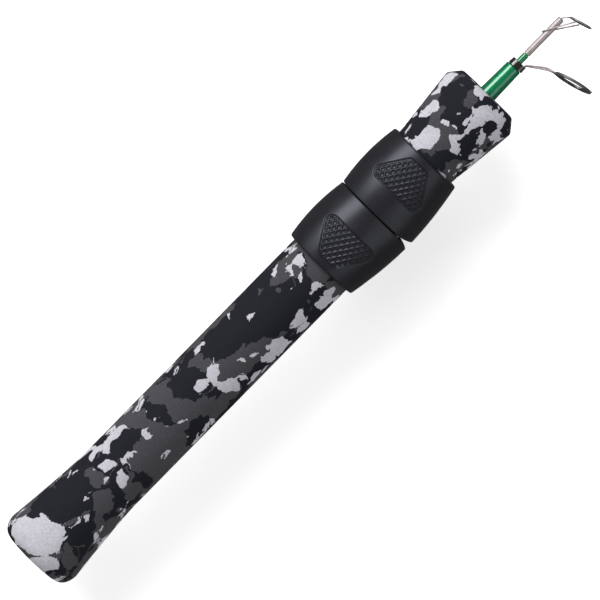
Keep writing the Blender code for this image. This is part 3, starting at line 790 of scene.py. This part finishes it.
def pad_distance(from_mouth, across):
    """How far a place is outside the grip pad's outline. Inside it is below zero."""
    place = Vector((from_mouth, abs(across)))
    middles = Vector((PAD_WIDE_END[0], 0)), Vector((PAD_NARROW_END[0], 0))
    corners = [middles[0], Vector(PAD_WIDE_END), Vector(PAD_NARROW_END), middles[1]]
    outside, nearest = -1.0, 1.0
    for start, end in zip(corners, corners[1:]):
        along = (end - start).normalized()
        reach = place - start
        outside = max(outside, reach.y * along.x - reach.x * along.y)
        t = min(max(reach.dot(along), 0.0), (end - start).length)
        nearest = min(nearest, (reach - along * t).length)
    return (nearest if outside > 0 else outside) - PAD_CORNER


def pad_relief(from_mouth, across, signed):
    """How far the surface lies under the ring's barrel: a groove round the pad, and rows of pits in it."""
    outside = pad_distance(from_mouth, across - PAD_SHIFT)
    inside = blend_in(outside, PAD_EDGE, -PAD_EDGE)
    if inside == 0.0:
        return 0.0
    ridge = 0.0
    round_steps = (math.pi / 2 - abs(signed)) / PAD_STEP_ANGLE
    for s in (-1, 1):
        line = (from_mouth / PAD_STEP + s * round_steps) / PIT_STEPS
        ridge = max(ridge, abs(2 * (line % 1.0) - 1))
    pit = blend_in(ridge, *PIT_WALL) * blend_in(outside, *PIT_BORDER)
    groove = hump(outside + GROOVE_PLACE, GROOVE_HALF_WIDTH)
    return inside * (RIDGE_DEPTH + PIT_DEPTH * pit + PAD_GROOVE * groove)


def ring_bm():
    """The ring from its outer end at x = 0 to its mouth, with a grip pad on either side of the hood."""
    half = math.ceil(PAD_HALF_ANGLE / PAD_STEP_ANGLE)
    pad_from, pad_to = math.pi / 2 - half * PAD_STEP_ANGLE, math.pi / 2 + half * PAD_STEP_ANGLE
    dense = [pad_from + k * PAD_STEP_ANGLE for k in range(2 * half)]
    coarse = range(RING_COARSE_STEPS)
    front = [-pad_from + 2 * pad_from * k / RING_COARSE_STEPS for k in coarse]
    back = [pad_to + (2 * math.pi - 2 * pad_to) * k / RING_COARSE_STEPS for k in coarse]
    angles = front + dense + back + [a + math.pi for a in dense]
    near = math.floor((PAD_WIDE_END[0] - PAD_CORNER - PAD_MARGIN) / PAD_STEP)
    far = math.ceil((PAD_NARROW_END[0] + PAD_CORNER + PAD_MARGIN) / PAD_STEP)
    pad_start, pad_end = RING_LENGTH - far * PAD_STEP, RING_LENGTH - near * PAD_STEP
    last = RING_LENGTH - MOUTH_EDGE
    stations = [RING_EDGE + (pad_start - RING_EDGE) * k / 4 for k in range(4)]
    stations += [pad_start + k * PAD_STEP for k in range(far - near)]
    stations += [pad_end + (last - pad_end) * k / 12 for k in range(13)]
    bm = bmesh.new()
    loops = []
    for angle in angles:
        signed = angle if angle <= math.pi else angle - 2 * math.pi
        stretch = 1 - MOUTH_RELIEF * hump(signed, RELIEF_HALF_ANGLE) / RING_LENGTH
        section = []
        for x in stations:
            radius = ring_outer_radius(x * stretch / RING_LENGTH, signed)
            relief = pad_relief(RING_LENGTH - x, radius * math.cos(signed), signed)
            section.append((x * stretch, radius - relief))
        length = RING_LENGTH * stretch
        outer_radius = section[0][1]
        mouth_x, mouth_radius = section[-1]
        edge = length - mouth_x
        before, after = [], []
        for t in CORNER_ANGLES[:-1]:
            before.append((RING_EDGE * (1 - math.cos(t)), outer_radius - RING_EDGE * (1 - math.sin(t))))
        for t in CORNER_ANGLES[1:]:
            after.append((mouth_x + edge * math.sin(t), mouth_radius - edge * (1 - math.cos(t))))
        plain_bore = [length - 2 * MM - k * (length - 4 * MM) / 9 for k in range(10)]
        bore = [length - BORE_EDGE, *plain_bore, BORE_EDGE]
        inner = [(length, ring_inner_radius(length / RING_LENGTH, signed) + BORE_EDGE)]
        inner += [(x, ring_inner_radius(x / RING_LENGTH, signed)) for x in bore]
        inner.append((0.0, RING_BORE + BORE_EDGE))
        outline = before + section + after + inner
        loops.append([bm.verts.new((x, -r * math.cos(signed), r * math.sin(signed))) for x, r in outline])
    for a, b in zip(loops, loops[1:] + loops[:1]):
        for i in range(len(a)):
            bm.faces.new((a[i - 1], a[i], b[i], b[i - 1]))
    return bm


def add_reel_rings():
    rear = ring_bm()
    rear.transform(Matrix.Translation((REAR_RING_X, 0, 0)))
    add_piece("rear_ring", rear, "black_plastic", "rear_ring", "rear_reel_ring")
    front = ring_bm()
    front.transform(Matrix.Translation((FRONT_RING_X, 0, 0)) @ Matrix.Rotation(math.pi, 4, "Y"))
    add_piece("front_ring", front, "black_plastic", "front_ring", "front_reel_ring")


# ---------- outer section ----------


def binding_radius(x, r, angle):
    """Humped over the guide's foot, with the thread's turns showing through the varnish."""
    if r < NECK_RADIUS + GAP:
        return r
    signed = angle if angle <= math.pi else angle - 2 * math.pi
    bumped = r + (BINDING_BUMP_RADIUS - r) * hump(signed, BINDING_BUMP_HALF_ANGLE)
    return bumped - THREAD_RELIEF * (1 - math.cos(2 * math.pi * (x - BINDING_START) / THREAD_SIZE))


def band(inner, outer, width, shift):
    """A round band with rounded edges, standing round X."""
    half = width / 2
    soft = 0.45 * min(width, outer - inner)
    back, front = shift - half, shift + half
    return soften([(back, inner), (back, outer), (front, outer), (front, inner)], soft, 5)


def eye_matrix(x, height):
    """Puts a band's centre at an eye's place, tilted as the eye is."""
    return Matrix.Translation(rod_point(x, height)) @ Matrix.Rotation(GUIDE_TILT, 4, "Z")


def block(corner_low, corner_high, soft):
    """A box with rounded edges."""
    bm = bmesh.new()
    bmesh.ops.create_cube(bm, size=1.0)
    size = corner_high - corner_low
    bmesh.ops.scale(bm, vec=size, verts=bm.verts)
    bmesh.ops.translate(bm, vec=(corner_low + corner_high) / 2, verts=bm.verts)
    bmesh.ops.bevel(bm, geom=bm.edges[:], offset=soft, segments=3, affect="EDGES", profile=0.5)
    return bm


def add_outer_blank():
    """The green tube with its necked tip."""
    outline = [(OUTER_START, OUTER_BORE), (OUTER_START, OUTER_RADIUS), (OUTER_TAPER_X, OUTER_RADIUS)]
    outline += [(NECK_X - OUTER_TIP_EDGE, OUTER_TIP_RADIUS), (NECK_X, OUTER_TIP_RADIUS - OUTER_TIP_EDGE)]
    outline += [(NECK_X, NECK_RADIUS), (OUTER_END, NECK_RADIUS), (OUTER_END, NECK_BORE)]
    outline += [(NECK_BORE_X, NECK_BORE), (NECK_BORE_X - NECK_TAPER_LENGTH, OUTER_BORE)]
    blank = lathe(soften(outline, OUTER_EDGE))
    add_piece("outer_blank", blank, "green_lacquer", "outer_section", "outer_tube", GUIDE_TURN)


def add_binding():
    """The black thread binding, in steps fine enough to show the thread's turns."""
    bore = NECK_RADIUS + GAP / 2
    corner = [(BINDING_EDGE * (1 - math.cos(t)), BINDING_EDGE * (1 - math.sin(t))) for t in (0.0, 0.5, 1.0)]
    length = BINDING_END - BINDING_START - 2 * BINDING_EDGE
    taper = BINDING_RADIUS - BINDING_TIP_RADIUS
    section = [(BINDING_START, bore)]
    section += [(BINDING_START + x, BINDING_RADIUS - r) for x, r in corner]
    for k in range(BINDING_STEPS + 1):
        x = BINDING_START + BINDING_EDGE + length * k / BINDING_STEPS
        section.append((x, BINDING_RADIUS - taper * k / BINDING_STEPS))
    section += [(BINDING_END - x, BINDING_TIP_RADIUS - r) for x, r in reversed(corner)]
    section.append((BINDING_END, bore))
    binding = lathe(section, FINE, binding_radius)
    add_piece("thread_binding", binding, "black_lacquer", "outer_section", "guide_binding", GUIDE_TURN)


def add_guide():
    """The wire guide, joined from its foot, arms, hoop and the tab at the hoop's far side, and its ring."""
    hoop = lathe(band(HOOP_OUTER - HOOP_WALL, HOOP_OUTER, HOOP_WIDTH, 0.0), FINE)
    hoop.transform(eye_matrix(GUIDE_X, GUIDE_HEIGHT))
    guide = add_piece("guide_frame_wire", hoop, "steel", "outer_section", "guide_frame", GUIDE_TURN)
    low = Vector((FOOT_START, -FOOT_RADIUS - FOOT_THICKNESS / 2, -FOOT_WIDTH / 2))
    high = Vector((FOOT_END, -FOOT_RADIUS + FOOT_THICKNESS / 2, FOOT_WIDTH / 2))
    parts = [block(low, high, FOOT_EDGE)]
    middle = HOOP_OUTER - HOOP_WALL / 2
    for side in (-1, 1):
        reach = math.asin(side * ARM_SPREAD_AT_HOOP / HOOP_OUTER)
        corners = [
            rod_point(ARM_START, FOOT_RADIUS, side * ARM_SPREAD_AT_FOOT),
            rod_point(FOOT_END, FOOT_RADIUS, side * ARM_SPREAD_AT_FOOT),
            rod_point(ARM_BEND_X, ARM_BEND_HEIGHT, side * ARM_SPREAD_AT_BEND),
            eye_point(GUIDE_X, GUIDE_HEIGHT, middle, reach),
        ]
        parts.append(wire(curved_path(corners, ARM_BEND_RADIUS), ARM_WIRE))
    tab = [eye_point(GUIDE_X, GUIDE_HEIGHT, radius, math.pi) for radius in (middle, HOOP_OUTER + HOOP_TAB)]
    parts.append(wire(tab, HOOP_TAB_WIRE))
    joined = []
    for i, bm in enumerate(parts):
        bm.transform(Matrix.Rotation(-GUIDE_TURN, 4, "X"))
        joined.append(make_object(f"guide_part_{i}", bm, "steel"))
    combine(guide, joined)

    outer = HOOP_OUTER - HOOP_WALL - GAP / 2
    insert = lathe(band(outer - INSERT_WALL, outer, INSERT_WIDTH, INSERT_SHIFT), FINE)
    insert.transform(eye_matrix(GUIDE_X, GUIDE_HEIGHT))
    add_piece("guide_ring", insert, "ring_ceramic", "outer_section", "guide_insert", GUIDE_TURN)


# ---------- tip section ----------


def add_tip_blank():
    """The solid tapered tip section and its spigot."""
    outline = [(TIP_START, 0.0), (TIP_START, TIP_RADIUS), (TIP_TAPER_X, TIP_RADIUS)]
    outline += [(OUTER_END, TIP_NOSE_RADIUS), (TOP_TUBE_START - GAP, TIP_NOSE_RADIUS)]
    outline += [(TOP_TUBE_START - GAP, TIP_SPIGOT_RADIUS), (TIP_END, TIP_SPIGOT_RADIUS), (TIP_END, 0.0)]
    blank = lathe(soften(outline, TIP_EDGE), SLIM)
    add_piece("tip_blank", blank, "green_lacquer", "tip_section", "tip_rod", TIP_TURN)


def add_tip_top():
    """The steel tube on the tip, the hoop with its stem, the brace round the tube's back, and the ring."""
    outline = [(TOP_TUBE_START, TOP_TUBE_BORE), (TOP_TUBE_START, TOP_TUBE_RADIUS)]
    outline.append((TOP_TUBE_END - TOP_TUBE_CHAMFER, TOP_TUBE_RADIUS))
    outline.append((TOP_TUBE_END, TOP_TUBE_RADIUS - TOP_TUBE_CHAMFER))
    stem_hole = STEM_WIRE + GAP / 2
    outline += [(TOP_TUBE_END, stem_hole), (TOP_PLUG_X, stem_hole), (TOP_PLUG_X, TOP_TUBE_BORE)]
    sleeve = lathe(soften(outline, TOP_TUBE_EDGE), SLIM)
    add_piece("tip_top_sleeve", sleeve, "steel", "tip_section", "tip_top_tube", TIP_TURN)

    inner = TOP_HOOP_OUTER - TOP_HOOP_WALL
    hoop = lathe(band(inner, TOP_HOOP_OUTER, TOP_HOOP_WIDTH, 0.0), FINE)
    hoop.transform(eye_matrix(TOP_X, TOP_HEIGHT))
    top = add_piece("tip_top_eye", hoop, "steel", "tip_section", "tip_top_hoop", TIP_TURN)
    middle = TOP_HOOP_OUTER - TOP_HOOP_WALL / 2
    near_side = eye_point(TOP_X, TOP_HEIGHT, middle, 0.0)
    corners = [rod_point(STEM_START, 0.0), rod_point(STEM_BEND_X, 0.0), near_side]
    stem = wire(curved_path(corners, STEM_BEND_RADIUS), STEM_WIRE)
    stem.transform(Matrix.Rotation(-TIP_TURN, 4, "X"))
    combine(top, [make_object("tip_top_stem", stem, "steel")])

    reach = TOP_TUBE_RADIUS + BRACE_WIRE + GAP / 2
    behind = -TOP_HOOP_WIDTH / 2 - BRACE_WIRE - GAP / 2
    ends = [eye_point(TOP_X, TOP_HEIGHT, middle, side * BRACE_END_ANGLE, behind) for side in (-1, 1)]
    slope = (ends[0].x - BRACE_X) / (-ends[0].y + reach)
    bend = []
    for k in range(BRACE_STEPS + 1):
        angle = math.pi * (k / BRACE_STEPS - 0.5)
        height = -reach * math.cos(angle)
        bend.append(rod_point(BRACE_X + slope * (height + reach), height, reach * math.sin(angle)))
    legs = wire([ends[0], *bend, ends[1]], BRACE_WIRE)
    add_piece("tip_top_legs", legs, "steel", "tip_section", "tip_top_brace", TIP_TURN)

    outer = inner - GAP / 2
    insert = lathe(band(outer - TOP_INSERT_WALL, outer, TOP_INSERT_WIDTH, INSERT_SHIFT / 2), FINE)
    insert.transform(eye_matrix(TOP_X, TOP_HEIGHT))
    add_piece("tip_top_ring", insert, "ring_ceramic", "tip_section", "tip_top_insert", TIP_TURN)


# ---------- butt cap ----------


def thread_radius(x, r, angle):
    """A single-start thread on the plug, fading out at both ends."""
    if not SCREW_START <= x <= SCREW_END or abs(r - PLUG_ROOT_RADIUS) > 0.01 * MM:
        return r
    fade = blend_in(x, SCREW_START, SCREW_START + SCREW_FADE) * blend_in(x, SCREW_END, SCREW_END - SCREW_FADE)
    phase = (x / SCREW_PITCH - angle / (2 * math.pi)) % 1.0
    crest = min(1.0, max(0.0, SCREW_CREST - SCREW_FLANK * abs(phase - 0.5)))
    return r + (PLUG_RADIUS - PLUG_ROOT_RADIUS) * crest * fade


def add_butt_cap():
    """The screw cap, with a fine mesh where its thread is, and two spanner holes cut in its face."""
    outline = [(0.0, 0.0), (0.0, FLANGE_RADIUS), (FLANGE_LENGTH, FLANGE_RADIUS)]
    outline += [(FLANGE_LENGTH, PLUG_ROOT_RADIUS), (PLUG_END, PLUG_ROOT_RADIUS), (PLUG_END, 0.0)]
    softened = soften(outline, CAP_EDGE)
    start, end = SCREW_START - 0.1 * MM, SCREW_END + 0.1 * MM
    plug = [(start + (end - start) * k / SCREW_STEPS, PLUG_ROOT_RADIUS) for k in range(SCREW_STEPS + 1)]
    outline = [p for p in softened if p[0] < start] + plug + [p for p in softened if p[0] > end]
    cap = add_piece("screw_cap", lathe(outline, MEDIUM, thread_radius), "black_plastic", "butt_cap", "butt_cap")
    holes = []
    for side in (-1, 1):
        bm = lathe([(x * MM, r * MM) for x, r in SPANNER_HOLE], 32)
        bm.transform(Matrix.Translation((0, side * SPANNER_HOLE_SHIFT, 0)))
        holes.append(make_object(f"spanner_hole_{side}", bm, "black_plastic"))
    combine(cap, holes, "DIFFERENCE")


# ---------- inner pieces, stage, light, camera ----------


def dress_inner_nodes():
    """The tubes, collars and rubber inside keep their CAD shape and take their finish by the record's slots."""
    slots = {row["node"]: row["material_slot"] for row in frame["record"]["subparts"]}
    for name, cad in frame["nodes"].items():
        if cad.hide_render:
            continue
        cad.data.materials.clear()
        cad.data.materials.append(MATERIALS[slots[name]])


def add_floor():
    """A pale floor that glows a little, so that the shadow stays faint."""
    bm = bmesh.new()
    bmesh.ops.create_grid(bm, x_segments=8, y_segments=8, size=FLOOR_SIZE)
    mesh = bpy.data.meshes.new("floor")
    bm.to_mesh(mesh)
    bm.free()
    floor = bpy.data.objects.new("floor", mesh)
    bpy.context.scene.collection.objects.link(floor)
    floor.location.z = FLOOR_Z
    glow = {"Emission_Strength": FLOOR_GLOW, "Emission_Color": WHITE}
    made, tree, shader = new_material("floor_paper", Roughness=0.9, Specular_IOR_Level=0.1, **glow)
    cloud = noise(tree, millimetres(tree), 300.0, 3.0)
    colour = ramp(tree, cloud, [(0.3, (0.86, 0.86, 0.86)), (0.7, (0.88, 0.88, 0.88))])
    tree.links.new(colour, shader.inputs["Base Color"])
    mesh.materials.append(made)
    floor.visible_glossy = False


def add_light(name, location, size, power):
    """A rectangular light that faces the middle of the rod."""
    data = bpy.data.lights.new(name, "AREA")
    data.shape = "RECTANGLE"
    data.size, data.size_y = size
    data.energy = power
    light = bpy.data.objects.new(name, data)
    bpy.context.scene.collection.objects.link(light)
    light.location = location
    light.rotation_euler = (Vector(location) - LIGHT_TARGET).to_track_quat("Z", "Y").to_euler()
    return light


def add_camera():
    """Looks down on the rod from far away, leaning a little towards its tip."""
    data = bpy.data.cameras.new("camera")
    data.sensor_width = SENSOR_WIDTH
    data.lens = SENSOR_WIDTH * DISTANCE / FRAME_WIDTH
    camera = bpy.data.objects.new("camera", data)
    bpy.context.scene.collection.objects.link(camera)
    back = Vector((math.sin(LEAN), 0, math.cos(LEAN)))
    along = (Vector((1, 0, 0)) - back * back.x).normalized()
    across = back.cross(along)
    right = along * math.cos(ROD_ANGLE) - across * math.sin(ROD_ANGLE)
    up = along * math.sin(ROD_ANGLE) + across * math.cos(ROD_ANGLE)
    turn = Matrix((right, up, back)).transposed().to_4x4()
    camera.matrix_world = Matrix.Translation(TARGET + back * DISTANCE) @ turn
    bpy.context.scene.camera = camera


def add_world():
    world = bpy.data.worlds.new("studio")
    bpy.context.scene.world = world
    world.use_nodes = True
    background = world.node_tree.nodes["Background"]
    background.inputs["Color"].default_value = WHITE
    background.inputs["Strength"].default_value = WORLD_STRENGTH


add_handle()
add_reel_rings()
add_outer_blank()
add_binding()
add_guide()
add_tip_blank()
add_tip_top()
add_butt_cap()
dress_inner_nodes()
add_floor()
add_light("key", (0.45, 0.95, 0.85), (1.2, 0.75), 20)
add_light("fill", (0.2, -1.2, 1.0), (1.4, 1.0), 4.5)
overhead = add_light("overhead", (0.13, 0.0, 1.9), (2.6, 2.6), 24)
overhead.visible_glossy = False  # it only lightens the object and the floor
add_world()
bpy.context.scene.view_settings.view_transform = "Standard"
add_camera()
